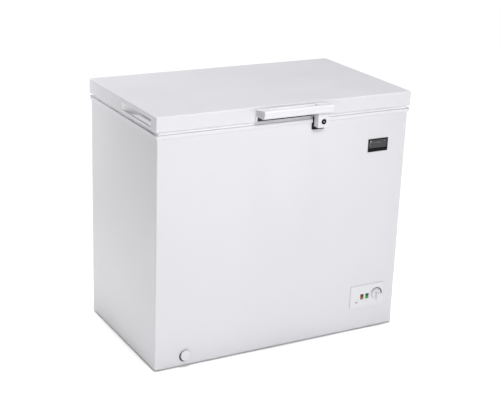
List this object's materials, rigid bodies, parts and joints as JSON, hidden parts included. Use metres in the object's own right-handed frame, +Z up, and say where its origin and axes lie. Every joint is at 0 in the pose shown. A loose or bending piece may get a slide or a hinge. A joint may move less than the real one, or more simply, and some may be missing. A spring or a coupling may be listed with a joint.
{
  "type": "chest freezer",
  "caption": "Small white chest freezer: hinged insulated lid with a front grip and key lock, stepped tank, hanging basket, thermostat panel, temperature display and drain.",
  "frame": {"origin": "centre of the bounding box's bottom face, on the floor under the feet", "axes": "+X to the freezer's right as seen from its front, +Y to the rear, +Z up; the front wall, handle and controls face -Y"},
  "size_m": [0.941, 0.6175, 0.856],
  "materials": {
    "white_painted_steel": "smooth white powder coat, low sheen",
    "white_plastic": "moulded white plastic, satin",
    "insulation_foam": null,
    "embossed_aluminium": "stucco-embossed sheet",
    "galvanised_steel": "galvanised, fine spangle",
    "copper_tube": "drawn copper, satin",
    "black_plastic": "matt black moulding",
    "black_paint": "satin black enamel",
    "grey_rubber": "soft magnetic seal",
    "black_rubber": "matt",
    "dark_window": "dark glossy display window",
    "circuit_board": "green solder mask",
    "orange_lens": "translucent orange lamp lens",
    "green_lens": "translucent green lamp lens",
    "coated_wire": "plastic-coated steel wire, white"
  },
  "bodies": {
    "cabinet": {"outer_wrap": "white_painted_steel", "back_panel": "white_painted_steel", "base_pan": "galvanised_steel", "foam_body": "insulation_foam", "inner_liner": "embossed_aluminium", "collar": "white_plastic", "evaporator_coil": "copper_tube", "condenser_coil": "galvanised_steel", "compressor_tray": "galvanised_steel", "compressor_shell": "black_paint", "start_relay_cover": "black_plastic", "suction_pipe": "copper_tube", "discharge_pipe": "copper_tube", "filter_drier": "copper_tube", "rear_grille": "galvanised_steel", "cord_gland": "black_plastic", "drain_pipe": "white_plastic", "control_panel": "white_plastic", "thermostat_box": "white_plastic", "lamp_orange": "orange_lens", "lamp_green": "green_lens", "display_housing": "black_plastic", "display_window": "dark_window", "display_board": "circuit_board", "lock_keeper": "black_plastic", "grommet_1": "black_rubber", "foot_1": "black_rubber", "grille_screw_1": "galvanised_steel", "grommet_2": "black_rubber", "foot_2": "black_rubber", "grille_screw_2": "galvanised_steel", "grommet_3": "black_rubber", "foot_3": "black_rubber", "grille_screw_3": "galvanised_steel", "grommet_4": "black_rubber", "foot_4": "black_rubber", "grille_screw_4": "galvanised_steel", "hinge_base_left": "galvanised_steel", "hinge_pin_left": "galvanised_steel", "hinge_base_right": "galvanised_steel", "hinge_pin_right": "galvanised_steel"},
    "lid": {"lid_shell": "white_painted_steel", "lid_foam": "insulation_foam", "lid_liner": "white_plastic", "lid_gasket": "grey_rubber", "recess_left": "white_plastic", "recess_right": "white_plastic", "handle_base": "white_plastic", "handle_grip": "white_plastic", "lock_housing": "white_plastic", "hinge_leaf_left": "galvanised_steel", "hinge_leaf_right": "galvanised_steel"},
    "lock": {"lock_barrel": "black_plastic", "lock_cam": "galvanised_steel"},
    "knob": {"thermostat_knob": "white_plastic", "thermostat_shaft": "black_plastic"},
    "cap": {"drain_cap": "white_plastic"},
    "stopper": {"drain_stopper": "white_plastic"},
    "basket": {"basket": "coated_wire"}
  },
  "joints": [
    {"name": "lid_hinge", "type": "hinge", "parent": "cabinet", "child": "lid", "pos_m": [0, 0.30275, 0.8067], "axis": [-1, 0, 0], "range_deg": [0, 80]},
    {"name": "lock_turn", "type": "hinge", "parent": "lid", "child": "lock", "pos_m": [0.1075, -0.25125, 0.794], "axis": [0, 1, 0], "range_deg": [0, 90]},
    {"name": "knob_turn", "type": "hinge", "parent": "cabinet", "child": "knob", "pos_m": [0.389, -0.24525, 0.127], "axis": [0, 1, 0], "range_deg": [0, 270]},
    {"name": "cap_pull", "type": "slide", "parent": "cabinet", "child": "cap", "axis": [0, -1, 0], "range_m": [0, 0.03]},
    {"name": "stopper_lift", "type": "slide", "parent": "cabinet", "child": "stopper", "axis": [0, 0, 1], "range_m": [0, 0.06]},
    {"name": "basket_slide", "type": "slide", "parent": "cabinet", "child": "basket", "axis": [-1, 0, 0], "range_m": [0, 0.56]}
  ]
}
